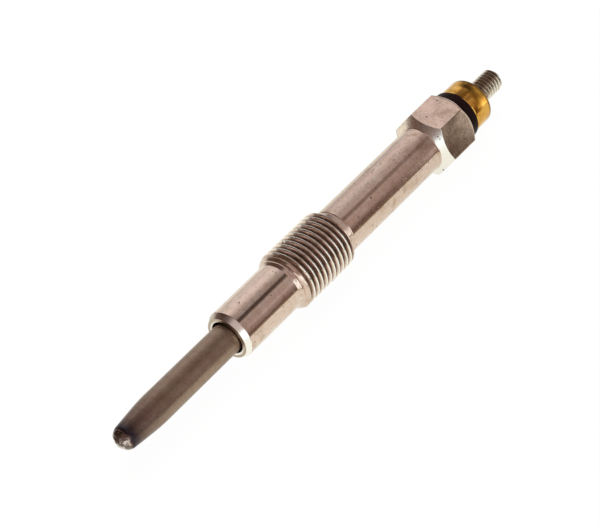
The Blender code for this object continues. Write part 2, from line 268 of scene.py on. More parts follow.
def thread_section(pitch):
    """One turn of a thread's section: (share of the pitch, depth below the crest), from root to root."""
    depth = THREAD_DEPTH_SHARE * pitch
    crest = CREST_HALF_SHARE * pitch
    flank = crest + depth * math.tan(FLANK_ANGLE)
    falling = [(crest, 0.0), (flank, depth), (pitch / 2, depth)]
    rising = [(-place, below) for place, below in reversed(falling)]
    line = softened(rising + falling, pitch * THREAD_SOFTNESS)
    section = []
    for near, far in zip(line, line[1:]):
        pieces = max(1, math.ceil((far.x - near.x) / (pitch * SECTION_STEP)))
        for step in range(pieces):
            place = near.lerp(far, step / pieces)
            section.append((place.x / pitch + 0.5, place.y))
    return section


def thread_band(shape, angles, span, pitch, crest_height, crest_radius, envelope):
    """A right-hand thread between two heights, with a crest at crest_height on its upper side.

    envelope gives the greatest radius at a height. The thread's two ends keep to it.
    """
    low, high = span
    section = thread_section(pitch)
    start = crest_height - pitch / 2
    start -= pitch * math.ceil((start - low) / pitch + 1)
    turns = math.ceil((high - start) / pitch) + 2
    lines = []
    for angle in angles:
        line = []
        for turn in range(turns):
            for share, below in section:
                height = start + pitch * (turn + share + angle / math.tau)
                height = min(max(height, low), high)
                radius = envelope(height)
                if low < height < high:
                    radius = min(radius, crest_radius - below)
                line.append((height, radius))
        lines.append(line)
    add_band(shape, angles, lines, len(section))


def finished(shape, name, material):
    """Welds the bands into one closed mesh and makes it a piece of the plug that stands for its node."""
    bmesh.ops.remove_doubles(shape, verts=shape.verts, dist=MERGE_DISTANCE)
    bmesh.ops.recalc_face_normals(shape, faces=shape.faces)
    mesh = bpy.data.meshes.new(name)
    shape.to_mesh(mesh)
    shape.free()
    mesh.shade_smooth()
    mesh.materials.append(material)
    piece = bpy.data.objects.new(name + "_surface", mesh)
    bpy.context.scene.collection.objects.link(piece)
    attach(piece, "root")
    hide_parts(name)


# Pieces

def shell_angles():
    """Angles round the shell. Some lie close to the hexagon's corners, where its flats end."""
    trim = math.degrees(math.acos(FLAT_RADIUS / HEX_CORNER_RADIUS))
    even = [HEX_COLUMN_ANGLE * step for step in range(11)]
    side = even + [trim - HEX_TRIM_MARGIN, trim]
    sector = sorted([-angle for angle in side[1:]] + side + [30.0])
    return [math.radians(60 * turn + angle) for turn in range(6) for angle in sector]


def flat_radius(angle):
    """Radius of the hexagon at an angle, with its corners turned down."""
    sector = math.radians(60)
    off = (angle + sector / 2) % sector - sector / 2
    return min(FLAT_RADIUS / math.cos(off), HEX_CORNER_RADIUS)


def hexagon_line(angle, start, end):
    """The hexagon's section at an angle: a cone, a flat, the chamfer and a part of the end face."""
    radius = flat_radius(angle)
    cone = (radius - UPPER_RADIUS) / math.tan(HEX_CONE_ANGLE)
    chamfer = radius - HEX_FACE_RADIUS
    return softened([
        (start, UPPER_RADIUS),
        (HEX_START, UPPER_RADIUS),
        (HEX_START + cone, radius),
        (HEX_END - chamfer, radius),
        (HEX_END, HEX_FACE_RADIUS),
        (HEX_END, end),
    ], own={1: HEX_FILLET, 3: HEX_EDGE})


def shell_thread_envelope(height):
    """Greatest radius of the shell's thread at a height: the lead at its front and the rear chamfer."""
    lead = LOWER_RADIUS + (height - THREAD_START) * (THREAD_RADIUS - LOWER_RADIUS) / THREAD_LEAD
    chamfer = THREAD_RADIUS - THREAD_CHAMFER + (THREAD_END - height)
    return min(THREAD_RADIUS, lead, chamfer)


def shell(material):
    shape = bmesh.new()
    angles = shell_angles()
    face_middle = (HEX_FACE_RADIUS + GLAND_RADIUS) / 2
    hexagon_base = HEX_START - 0.0005
    lip = arc(NOSE + NOSE_LIP, NOSE_BORE_RADIUS + NOSE_LIP, NOSE_LIP, 180, 270, 6)
    inside = softened([
        (HEX_END, face_middle),
        (HEX_END, GLAND_RADIUS),
        (GLAND_FLOOR, GLAND_RADIUS),
        (GLAND_FLOOR, BORE_RADIUS),
        (NOSE + NOSE_BORE_DEPTH + BORE_STEP, BORE_RADIUS),
        (NOSE + NOSE_BORE_DEPTH, NOSE_BORE_RADIUS),
        lip[0],
    ])
    front = softened([
        lip[-1],
        (NOSE, SEAT_FACE_RADIUS),
        (NOSE + SEAT_LENGTH, LOWER_RADIUS),
        (THREAD_START - LEAD_GUARD, LOWER_RADIUS),
        (THREAD_START, LOWER_RADIUS),
    ], own={2: SEAT_EDGE})
    neck = softened([
        (THREAD_END, shell_thread_envelope(THREAD_END)),
        (THREAD_END, NECK_RADIUS),
        (NECK_END, NECK_REAR_RADIUS),
        (NECK_END + GROOVE_WIDTH / 2, UPPER_RADIUS - GROOVE_DEPTH),
        (NECK_END + GROOVE_WIDTH, UPPER_RADIUS),
        (hexagon_base, UPPER_RADIUS),
    ])
    turned_band(shape, angles, inside)
    turned_band(shape, angles, lip)
    turned_band(shape, angles, front)
    span = (THREAD_START, THREAD_END)
    crest = CREST_AT_FRONT - THREAD_PITCH * CREST_ANGLE / math.tau
    thread_band(shape, angles, span, THREAD_PITCH, crest, THREAD_RADIUS, shell_thread_envelope)
    turned_band(shape, angles, neck)
    add_band(shape, angles, [hexagon_line(angle, hexagon_base, face_middle) for angle in angles])
    finished(shape, "shell", material)


def weld_bulge(place):
    """How far the weld at the tip stands proud of its dome, at a point on it."""
    lumps = noise.noise(place * LUMPS_PER_METRE) * LUMP_HEIGHT
    ripples = noise.noise(place * RIPPLES_PER_METRE + RIPPLE_SHIFT) * RIPPLE_HEIGHT
    return lumps + ripples


def heater_sheath(material):
    shape = bmesh.new()
    angles = even_angles(ROUND_COLUMNS)
    inner = HEATER_RADIUS - SHEATH_WALL
    taper = (HEATER_RADIUS - TIP_RADIUS) / (SWAGE_END - DOME_HEIGHT)
    swaged_inner = TIP_RADIUS + taper * (TIP_PLUG_LENGTH - DOME_HEIGHT) - SHEATH_WALL
    turns = [math.radians(90) * step / DOME_STEPS for step in range(DOME_STEPS + 1)]
    dome = [(WELD_HEIGHT * (1 - math.cos(turn)), WELD_RADIUS * math.sin(turn)) for turn in turns]
    turned_band(shape, angles, dome)
    # From the weld over a small step to the swaged tube, along it, and back inside it
    turned_band(shape, angles, softened([
        dome[-1],
        (WELD_HEIGHT + 0.00010, WELD_RADIUS + 0.00002),
        (WELD_HEIGHT + 0.00018, TIP_RADIUS - 0.00004),
        (DOME_HEIGHT + 0.00035, TIP_RADIUS + 0.00003),
        (SWAGE_END, HEATER_RADIUS),
        (SHEATH_END, HEATER_RADIUS),
        (SHEATH_END, inner),
        (SWAGE_END, inner),
        (TIP_PLUG_LENGTH, swaged_inner),
        (TIP_PLUG_LENGTH, 0.0),
    ], own={4: SWAGE_BLEND}))
    bmesh.ops.remove_doubles(shape, verts=shape.verts, dist=MERGE_DISTANCE)
    for vertex in shape.verts:
        height = vertex.co.x - TIP_X
        if height < WELD_HEIGHT:
            fade = 1.0 - (height / WELD_HEIGHT) ** 3
            vertex.co.x += (weld_bulge(vertex.co) + WELD_LIFT) * fade
    finished(shape, "heater_sheath", material)


def insulating_washer(material):
    shape = bmesh.new()
    edge = arc(WASHER_END - WASHER_EDGE, WASHER_RADIUS - WASHER_EDGE, WASHER_EDGE, 90, 0, 8)
    seat = WASHER_START + WASHER_SEAT_EDGE
    edge += arc(seat, WASHER_RADIUS - WASHER_SEAT_EDGE, WASHER_SEAT_EDGE, 0, -90, 6)
    middle = (STUD_HOLE_RADIUS + WASHER_RADIUS) / 2
    hidden = softened([
        (WASHER_START, WASHER_RADIUS - WASHER_SEAT_EDGE),
        (WASHER_START, BOSS_RADIUS),
        (BOSS_START, BOSS_RADIUS),
        (BOSS_START, STUD_HOLE_RADIUS),
        (WASHER_END, STUD_HOLE_RADIUS),
        (WASHER_END, middle),
        (WASHER_END, WASHER_RADIUS - WASHER_EDGE),
    ])
    turned_band(shape, even_angles(ROUND_COLUMNS), edge + hidden[1:])
    finished(shape, "insulating_washer", material)


def round_nut(material):
    shape = bmesh.new()
    edge = arc(NUT_END - NUT_EDGE, NUT_RADIUS - NUT_EDGE, NUT_EDGE, 90, 0, 8)
    edge += arc(NUT_START + NUT_EDGE, NUT_RADIUS - NUT_EDGE, NUT_EDGE, 0, -90, 8)
    hidden = softened([
        (NUT_START, NUT_RADIUS - NUT_EDGE),
        (NUT_START, STUD_HOLE_RADIUS + NUT_COUNTERSINK),
        (NUT_START + NUT_COUNTERSINK, STUD_HOLE_RADIUS),
        (NUT_END - NUT_COUNTERSINK, STUD_HOLE_RADIUS),
        (NUT_END, STUD_HOLE_RADIUS + NUT_COUNTERSINK),
        (NUT_END, NUT_RADIUS - NUT_EDGE),
    ])
    turned_band(shape, even_angles(ROUND_COLUMNS), edge + hidden[1:])
    finished(shape, "round_nut", material)


def stud_envelope(height):
    """Greatest radius of the stud's thread at a height, with the chamfer at its end."""
    chamfer = STUD_RADIUS - STUD_CHAMFER + (STUD_END - height)
    rise = ROD_RADIUS + (height - STUD_THREAD_START)
    return min(STUD_RADIUS, chamfer, rise)


def centre_electrode(material):
    shape = bmesh.new()
    angles = even_angles(STUD_COLUMNS)
    rod_start = NUT_START - ROD_LENGTH
    electrode_start = SPIGOT_START + SPIGOT_LENGTH
    turned_band(shape, angles, softened([
        (SPIGOT_START, 0.0),
        (SPIGOT_START, SPIGOT_RADIUS),
        (electrode_start, SPIGOT_RADIUS),
        (electrode_start, ELECTRODE_RADIUS),
        (rod_start, ELECTRODE_RADIUS),
        (rod_start + ROD_RADIUS - ELECTRODE_RADIUS, ROD_RADIUS),
        (STUD_THREAD_START, ROD_RADIUS),
    ]))
    span = (STUD_THREAD_START, STUD_END)
    thread_band(shape, angles, span, STUD_PITCH, STUD_THREAD_START, STUD_RADIUS, stud_envelope)
    turned_band(shape, angles, softened([
        (STUD_END, STUD_RADIUS - STUD_CHAMFER),
        (STUD_END, 0.0006),
        (STUD_END - 0.00004, 0.0),
    ]))
    finished(shape, "centre_electrode", material)


# Shader nodes

def add_node(tree, kind, inputs=None, **settings):
    """Adds a node. inputs maps a socket's name or number to a value or to another node's output."""
    node = tree.nodes.new(kind)
    for name, value in settings.items():
        setattr(node, name, value)
    for socket, value in (inputs or {}).items():
        if isinstance(value, bpy.types.NodeSocket):
            tree.links.new(value, node.inputs[socket])
        else:
            node.inputs[socket].default_value = value
    return node


def maths(tree, operation, *values):
    return add_node(tree, "ShaderNodeMath", dict(enumerate(values)), operation=operation).outputs[0]


def total(tree, *values):
    """The sum of some values."""
    result = values[0]
    for value in values[1:]:
        result = maths(tree, "ADD", result, value)
    return result


def minus(tree, value, taken):
    return maths(tree, "SUBTRACT", value, taken)


def product(tree, *values):
    """Some values multiplied together. Masks multiplied together leave what lies in all of them."""
    result = values[0]
    for value in values[1:]:
        result = maths(tree, "MULTIPLY", result, value)
    return result


def between(tree, value, low, high, smooth=True):
    """0 below low and 1 above high, with a soft step between them. low may be the greater one."""
    kind = "SMOOTHSTEP" if smooth else "LINEAR"
    inputs = {"Value": value, "From Min": low, "From Max": high}
    return add_node(tree, "ShaderNodeMapRange", inputs, interpolation_type=kind).outputs[0]


def ramp(tree, factor, stops):
    """A colour ramp through (place, colour) stops. A colour may be one grey number."""
    node = add_node(tree, "ShaderNodeValToRGB", {"Fac": factor})
    elements = node.color_ramp.elements
    while len(elements) < len(stops):
        elements.new(1.0)
    for element, (place, colour) in zip(elements, stops):
        if isinstance(colour, (int, float)):
            colour = (colour, colour, colour)
        element.position = place
        element.color = (*colour, 1.0)
    return node.outputs["Color"]


def mix(tree, factor, first, second, blend="MIX"):
    node = add_node(tree, "ShaderNodeMix", data_type="RGBA", blend_type=blend)
    for index, value in ((0, factor), (6, first), (7, second)):
        if isinstance(value, bpy.types.NodeSocket):
            tree.links.new(value, node.inputs[index])
        elif index == 0:
            node.inputs[index].default_value = value
        else:
            node.inputs[index].default_value = (*value, 1.0)
    return node.outputs[2]


def speckle(tree, place, scale, detail=3.0, rough=0.55):
    inputs = {"Vector": place, "Scale": scale, "Detail": detail, "Roughness": rough}
    return add_node(tree, "ShaderNodeTexNoise", inputs).outputs["Fac"]


def stretched(tree, place, along, around):
    """The place with its scale changed along the plug and across it."""
    inputs = {0: place, 1: (along, around, around)}
    return add_node(tree, "ShaderNodeVectorMath", inputs, operation="MULTIPLY").outputs[0]


def pits(tree, place, scale, share, size):
    """1 in small round pits and 0 between them. share is how many of the cells hold a pit."""
    inputs = {"Vector": place, "Scale": scale, "Randomness": 1.0}
    cells = add_node(tree, "ShaderNodeTexVoronoi", inputs)
    chance = add_node(tree, "ShaderNodeSeparateColor", {0: cells.outputs["Color"]}).outputs[0]
    reach = product(tree, between(tree, chance, 1.0 - share, 1.0, smooth=False), size)
    return between(tree, minus(tree, cells.outputs["Distance"], reach), 0.0, -0.06)


def around_axis(tree, place):
    """How far a point lies behind the plug's axis, and how far above it."""
    parts = add_node(tree, "ShaderNodeSeparateXYZ", {0: place}).outputs
    return parts[1], minus(tree, parts[2], AXIS_Z)


def height_of(tree, place):
    parts = add_node(tree, "ShaderNodeSeparateXYZ", {0: place}).outputs
    return minus(tree, parts[0], TIP_X)


def radius_of(tree, place):
    behind, above = around_axis(tree, place)
    squares = total(tree, maths(tree, "POWER", behind, 2.0), maths(tree, "POWER", above, 2.0))
    return maths(tree, "SQRT", squares)


def angle_of(tree, place):
    behind, above = around_axis(tree, place)
    return maths(tree, "ARCTAN2", product(tree, behind, -1.0), above)


def far_side(tree, place, start, end):
    """0 in front of start and 1 behind end, which are places across the plug's axis."""
    behind = around_axis(tree, place)[0]
    return between(tree, behind, start, end)


def start_material(name, metallic, roughness):
    """A material with its node tree, its shader and the point that is shaded, in metres.

    Where a texture drives the roughness, the number given is close to its mean.
    """
    material = bpy.data.materials.new(name)
    material.use_nodes = True
    tree = material.node_tree
    shader = tree.nodes["Principled BSDF"]
    shader.inputs["Metallic"].default_value = metallic
    shader.inputs["Roughness"].default_value = roughness
    place = add_node(tree, "ShaderNodeTexCoord").outputs["Object"]
    return material, tree, shader, place


def bump(tree, shader, height, strength, distance):
    inputs = {"Height": height, "Strength": strength, "Distance": distance}
    node = add_node(tree, "ShaderNodeBump", inputs)
    tree.links.new(node.outputs[0], shader.inputs["Normal"])


# Nickel plate

CLEAN_PLATE = (0.735, 0.556, 0.465)
PALE_PLATE = (0.840, 0.700, 0.620)
TARNISHED_PLATE = (0.570, 0.400, 0.305)
# Bright plate: polish on the thread crests and the nose bore's lip, and a painted highlight on the cones'
# front.
POLISH_AND_HIGHLIGHT_PLATE = (0.990, 0.930, 0.870)
# The nose face: turned plate, darker and redder as painted shade for the shaded floor that it mirrors.
TURNED_FACE_WITH_SHADE = (0.460, 0.360, 0.285)
THREAD_GRIME = (0.145, 0.100, 0.078)


def plate_colour(tree, place):
    """Mottled plate with a fine grain."""
    mottle = ramp(tree, speckle(tree, place, 420.0), [
        (0.30, TARNISHED_PLATE),
        (0.45, CLEAN_PLATE),
        (0.60, CLEAN_PLATE),
        (0.78, PALE_PLATE),
    ])
    grains = ramp(tree, speckle(tree, place, 2300.0, 2.0), [(0.32, 0.58), (0.50, 1.0)])
    return mix(tree, 0.45, mottle, grains, "MULTIPLY")


def stained_hexagon(tree, place, colour, stains):
    """The colour with stains all over the hexagon, and darker mottled patches on its front flat."""
    in_hexagon = between(tree, height_of(tree, place), HEX_START + 0.0001, HEX_START + 0.0004)
    colour = mix(tree, product(tree, in_hexagon, 0.8), colour, stains, "MULTIPLY")
    off_flat = maths(tree, "ABSOLUTE", minus(tree, angle_of(tree, place), FRONT_FLAT_ANGLE))
    on_flat = product(tree, between(tree, off_flat, FRONT_FLAT_OUTER, FRONT_FLAT_INNER), in_hexagon)
    front_flat_mottle = ramp(tree, speckle(tree, place, 260.0, 4.0, 0.6), [
        (0.38, (0.37, 0.35, 0.31)),
        (0.50, (0.58, 0.59, 0.55)),
        (0.62, (0.78, 0.81, 0.78)),
    ])
    return mix(tree, on_flat, colour, front_flat_mottle, "MULTIPLY")


def on_cones(tree, place):
    """1 on the hexagon's front cone and on the seat at the nose, and 0 elsewhere."""
    height = height_of(tree, place)
    cone_radius = product(tree, minus(tree, height, HEX_START), math.tan(HEX_CONE_ANGLE))
    off_cone = minus(tree, minus(tree, radius_of(tree, place), UPPER_RADIUS), cone_radius)
    past_shank = between(tree, height, HEX_START, HEX_START + CONE_BLEND)
    hexagon_cone = product(tree, between(tree, off_cone, -0.00012, -0.00004), past_shank)
    seat_end = NOSE + SEAT_LENGTH
    seat = between(tree, height, seat_end, seat_end - CONE_BLEND)
    return maths(tree, "MAXIMUM", hexagon_cone, seat)


def cone_highlight_and_shade(tree, place):
    """Painted highlight in front and painted shade behind: brown on the seat, tanned on the hexagon's cone.
    """
    brown = ramp(tree, speckle(tree, place, 500.0, 4.0, 0.65), [
        (0.36, (0.34, 0.28, 0.235)),
        (0.62, (0.66, 0.56, 0.47)),
    ])
    tanned = ramp(tree, speckle(tree, place, 420.0, 4.0, 0.65), [
        (0.38, (0.58, 0.46, 0.38)),
        (0.60, (0.96, 0.80, 0.68)),
    ])
    at_hexagon = between(tree, height_of(tree, place), THREAD_START, THREAD_END)
    far_shade = mix(tree, at_hexagon, brown, tanned)
    # Painted highlight: bright plate on the cones' front. Painted shade: the darker colours on their far
    # side.
    return mix(tree, far_side(tree, place, -0.0004, 0.0010), POLISH_AND_HIGHLIGHT_PLATE, far_shade)


def nose_face_colour(tree, place, stains):
    """The nose's turned end face: stained, darkened as painted shade, and brighter on the lip round its
    bore.
    """
    # Painted shade: the face's colour is darkened for the shaded floor that it mirrors.
    face = mix(tree, 1.0, TURNED_FACE_WITH_SHADE, stains, "MULTIPLY")
    rim = NOSE_BORE_RADIUS + NOSE_LIP
    on_lip_edge = between(tree, radius_of(tree, place), rim + 0.00008, rim - 0.00006)
    return mix(tree, on_lip_edge, face, POLISH_AND_HIGHLIGHT_PLATE)


def thread_wear(tree, place):
    """Two masks on the body thread past its lead: its polished crests, and the grime in its roots."""
    height = height_of(tree, place)
    radius = radius_of(tree, place)
    past_lead = between(tree, height, THREAD_START + 0.0010, THREAD_START + 0.0022)
    before_neck = between(tree, height, THREAD_END + 0.0001, THREAD_END)
    in_thread = product(tree, past_lead, before_neck)
    crests = between(tree, radius, THREAD_RADIUS - FLANK_BAND, THREAD_RADIUS - CREST_BAND)
    roots = between(tree, radius, THREAD_RADIUS - FLANK_BAND, THREAD_RADIUS - ROOT_BAND)
    patches = ramp(tree, speckle(tree, place, 1300.0, 3.0, 0.6), [(0.35, 0.60), (0.60, 0.92)])
    return product(tree, in_thread, crests), product(tree, in_thread, roots, patches)


def plate_relief(tree, place, holes):
    """Turning marks, waves and pits, and the turned ridges on the thread's lead."""
    marks = product(tree, speckle(tree, stretched(tree, place, 9000.0, 120.0), 1.0, 2.0), 0.03)
    waves = product(tree, speckle(tree, place, 800.0, 2.0), 0.30)
    plain = minus(tree, total(tree, marks, waves), product(tree, holes, 0.5))
    height = height_of(tree, place)
    lead_end = THREAD_START + THREAD_LEAD
    past_shank = between(tree, height, THREAD_START, THREAD_START + 0.0002)
    before_thread = between(tree, height, lead_end + 0.0003, lead_end)
    drift = product(tree, speckle(tree, place, 500.0, 2.0), 9.0)
    waving = total(tree, product(tree, height, math.tau / LEAD_MARK_PITCH), drift)
    ridges = product(tree, maths(tree, "SINE", waving), past_shank, before_thread, 0.9)
    return total(tree, plain, ridges)


def nickel_material():
    """Nickel-plated steel: warm and bright, mottled and pitted, with grime in the roots of its thread.

    The hexagon is stained, and darker in mottled patches on its front flat. The two cones have a painted
    highlight in front and painted shade on their far side.
    """
    material, tree, shader, place = start_material("nickel_plate", 1.0, 0.13)
    stains = ramp(tree, speckle(tree, place, 330.0, 4.0, 0.65), [(0.36, 0.80), (0.50, 1.03), (0.64, 1.15)])
    colour = stained_hexagon(tree, place, plate_colour(tree, place), stains)
    cones = on_cones(tree, place)
    colour = mix(tree, cones, colour, cone_highlight_and_shade(tree, place))
    on_face = between(tree, height_of(tree, place), NOSE + 0.0001, NOSE)
    colour = mix(tree, on_face, colour, nose_face_colour(tree, place, stains))
    crests, dirt = thread_wear(tree, place)
    colour = mix(tree, crests, colour, POLISH_AND_HIGHLIGHT_PLATE)
    colour = mix(tree, dirt, colour, THREAD_GRIME)
    small_pits = pits(tree, place, 1700.0, 0.18, 0.32)
    holes = maths(tree, "MAXIMUM", small_pits, pits(tree, place, 900.0, 0.12, 0.26))
    colour = mix(tree, product(tree, holes, 0.7), colour, THREAD_GRIME)
    tree.links.new(colour, shader.inputs["Base Color"])
    grain = product(tree, speckle(tree, place, 1500.0), 0.05)
    soiled = product(tree, maths(tree, "MAXIMUM", holes, dirt), 0.3)
    rough = total(tree, 0.085, grain, soiled, product(tree, cones, 0.16))
    tree.links.new(rough, shader.inputs["Roughness"])
    bump(tree, shader, plate_relief(tree, place, holes), 0.5, 0.00002)
    return material


# Heat-resisting steel

# Colours by the share of the way from the tip to the nose
SHEATH_TINTS = [
    (0.000, (0.90, 0.79, 0.74)),
    (0.036, (0.72, 0.60, 0.54)),
    (0.047, (0.17, 0.095, 0.070)),
    (0.056, (0.034, 0.026, 0.038)),
    (0.080, (0.080, 0.062, 0.072)),
    (0.105, (0.150, 0.103, 0.088)),
    (0.160, (0.245, 0.162, 0.132)),
    (0.260, (0.310, 0.205, 0.162)),
    (0.450, (0.375, 0.260, 0.194)),
    (0.900, (0.390, 0.275, 0.204)),
]
WELD_SCALE = (0.095, 0.062, 0.050)
# Painted shade on the weld's rim, on its far side only.
WELD_RIM_SHADE = (0.060, 0.042, 0.040)


def weld_colour(tree, place, weld, patches, colour):
    """The colour with patches of scale on the weld, and a dark rim of painted shade on the weld's far side.
    """
    scale = ramp(tree, speckle(tree, place, 1100.0, 3.0, 0.6), [(0.42, 1.0), (0.47, 1.0), (0.53, 0.0)])
    colour = mix(tree, product(tree, weld, scale, 0.85), colour, WELD_SCALE)
    rim = between(tree, radius_of(tree, place), 0.0008, 0.0015)
    uneven = ramp(tree, patches, [(0.40, 0.95), (0.60, 0.25)])
    # Painted shade: the dark rim is kept to the weld's far side.
    far_rim_shade = product(tree, weld, rim, far_side(tree, place, -0.0014, 0.0002), uneven)
    return mix(tree, far_rim_shade, colour, WELD_RIM_SHADE)


def sheath_material():
    """Scaled steel: brown with streaks along it, blue-black by the weld, and bright on the weld itself."""
    material, tree, shader, place = start_material("heat_resisting_steel", 1.0, 0.38)
    patches = speckle(tree, place, 700.0)
    waver = product(tree, minus(tree, patches, 0.5), 0.0012)
    height = total(tree, height_of(tree, place), waver)
    colour = ramp(tree, maths(tree, "DIVIDE", height, NOSE), SHEATH_TINTS)
    streaks = speckle(tree, stretched(tree, place, 60.0, 1400.0), 1.0, 3.0)
    colour = mix(tree, 0.35, colour, ramp(tree, streaks, [(0.3, 0.55), (0.65, 1.0)]), "MULTIPLY")
    browned = ramp(tree, patches, [(0.3, (0.65, 0.52, 0.48)), (0.65, 1.0)])
    colour = mix(tree, 0.40, colour, browned, "MULTIPLY")
    flecks = speckle(tree, place, 2600.0, 2.0)
    colour = mix(tree, 0.40, colour, ramp(tree, flecks, [(0.3, 0.6), (0.55, 1.0)]), "MULTIPLY")
    weld = between(tree, height, DOME_HEIGHT, DOME_HEIGHT - 0.0004)
    colour = weld_colour(tree, place, weld, patches, colour)
    tree.links.new(colour, shader.inputs["Base Color"])
    tree.links.new(minus(tree, 0.38, product(tree, weld, 0.24)), shader.inputs["Roughness"])
    bump(tree, shader, total(tree, streaks, patches), 0.25, 0.00003)
    return material


# Brass, plastic, the terminal's steel and the pieces inside

DARK_RIM = (0.13, 0.055, 0.010)
# A brown band of painted shade along the nut's top.
PAINTED_DARK_BAND = (0.16, 0.060, 0.010)
BRASS_SPOT = (0.22, 0.080, 0.012)
TERMINAL_CREST = (0.96, 0.90, 0.81)
TERMINAL_ROOT = (0.100, 0.084, 0.073)
# Painted shade on the stud's top.
PAINTED_TOP_SHADE = (0.68, 0.62, 0.58)


def dark_band_mask(tree, place, blotches):
    """How strong the band of painted shade along the nut's top is. Its sides waver with the blotches."""
    waver = product(tree, minus(tree, blotches, 0.5), 0.5)
    angle = total(tree, angle_of(tree, place), waver)
    off_band = maths(tree, "ABSOLUTE", minus(tree, angle, DARK_BAND_ANGLE))
    return product(tree, between(tree, off_band, DARK_BAND_OUTER, DARK_BAND_INNER), 0.78)


def brass_material():
    """Polished brass with brown blotches, spots, soft dents, painted shade along its top, and a darker rear
    rim.
    """
    material, tree, shader, place = start_material("brass", 1.0, 0.10)
    blotches = speckle(tree, place, 520.0, 4.0, 0.6)
    colour = ramp(tree, blotches, [
        (0.34, (0.62, 0.290, 0.042)),
        (0.47, (0.74, 0.390, 0.072)),
        (0.66, (0.80, 0.460, 0.110)),
    ])
    rim = between(tree, height_of(tree, place), NUT_END - 0.0008, NUT_END - 0.0004)
    colour = mix(tree, product(tree, rim, 0.85), colour, DARK_RIM)
    # Painted shade: a brown band along the nut's top.
    colour = mix(tree, dark_band_mask(tree, place, blotches), colour, PAINTED_DARK_BAND)
    spots = between(tree, speckle(tree, place, 1500.0, 3.0), 0.60, 0.68)
    colour = mix(tree, product(tree, spots, 0.6), colour, BRASS_SPOT)
    tree.links.new(colour, shader.inputs["Base Color"])
    rough = total(tree, 0.06, product(tree, speckle(tree, place, 2200.0), 0.07))
    tree.links.new(rough, shader.inputs["Roughness"])
    marks = product(tree, speckle(tree, stretched(tree, place, 7000.0, 200.0), 1.0, 2.0), 0.015)
    dents = product(tree, speckle(tree, place, 420.0, 1.0), 2.2)
    bump(tree, shader, total(tree, marks, dents), 0.5, 0.00002)
    return material


def polyamide_material():
    """Glossy black moulded plastic with a faint grain."""
    material, tree, shader, place = start_material("black_polyamide", 0.0, 0.34)
    grain = speckle(tree, place, 2500.0)
    tones = ramp(tree, grain, [(0.3, (0.009, 0.003, 0.003)), (0.7, (0.016, 0.006, 0.006))])
    tree.links.new(tones, shader.inputs["Base Color"])
    shader.inputs["Specular IOR Level"].default_value = 0.05
    bump(tree, shader, grain, 0.15, 0.00002)
    return material


def terminal_material():
    """Plated steel with dark roots, a painted highlight on its crests' front side and painted shade on top.
    """
    material, tree, shader, place = start_material("terminal_steel", 1.0, 0.22)
    radius = radius_of(tree, place)
    angle = angle_of(tree, place)
    mottle = ramp(tree, speckle(tree, place, 900.0), [
        (0.3, (0.62, 0.54, 0.46)),
        (0.7, (0.86, 0.78, 0.68)),
    ])
    # Painted light: crests brighter and roots less dark on the front side.
    in_front = between(tree, angle, CREST_HIGHLIGHT_START, CREST_HIGHLIGHT_END)
    crest = between(tree, radius, STUD_RADIUS - FLANK_BAND, STUD_RADIUS - CREST_BAND)
    crest_share = total(tree, 0.15, product(tree, in_front, 0.70))
    colour = mix(tree, product(tree, crest, crest_share), mottle, TERMINAL_CREST)
    root = between(tree, radius, STUD_RADIUS - 0.0001, STUD_RADIUS - 0.0003)
    root_share = minus(tree, 0.55, product(tree, in_front, 0.15))
    colour = mix(tree, product(tree, root, root_share), colour, TERMINAL_ROOT)
    # Painted shade on the top of the stud.
    shaded_top = between(tree, maths(tree, "ABSOLUTE", angle), TOP_SHADE_OUTER, TOP_SHADE_INNER)
    colour = mix(tree, shaded_top, colour, PAINTED_TOP_SHADE, "MULTIPLY")
    tree.links.new(colour, shader.inputs["Base Color"])
    bump(tree, shader, speckle(tree, place, 4000.0), 0.2, 0.00002)
    return material


def grained_material(name, metallic, roughness, dark, light, scale, depth):
    """A plainer material for a piece inside the plug: two tones of one colour, with a fine grain."""
    material, tree, shader, place = start_material(name, metallic, roughness)
    grain = speckle(tree, place, scale)
    tree.links.new(ramp(tree, grain, [(0.3, dark), (0.7, light)]), shader.inputs["Base Color"])
    bump(tree, shader, grain, 0.4, depth)
    return material


def dress_inner_pieces():
    """Gives each carried-over solid inside the plug its material."""
    materials = {
        "heating_coil": grained_material(
            "heating_wire", 1.0, 0.35, (0.30, 0.24, 0.20), (0.46, 0.38, 0.32), 3000.0, 0.00001),
        "regulating_coil": grained_material(
            "regulating_wire", 1.0, 0.30, (0.34, 0.33, 0.33), (0.52, 0.51, 0.50), 3000.0, 0.00001),
        "insulating_powder": grained_material(
            "magnesium_oxide", 0.0, 0.95, (0.66, 0.63, 0.58), (0.84, 0.82, 0.78), 9000.0, 0.00004),
        "sheath_seal": grained_material(
            "seal_rubber", 0.0, 0.60, (0.022, 0.020, 0.019), (0.040, 0.038, 0.036), 4000.0, 0.00002),
        "o_ring": grained_material(
            "ring_rubber", 0.0, 0.50, (0.014, 0.014, 0.014), (0.028, 0.027, 0.026), 4000.0, 0.00002),
    }
    for node, material in materials.items():
        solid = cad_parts[node]
        solid.data.materials.clear()
        solid.data.materials.append(material)


# Studio

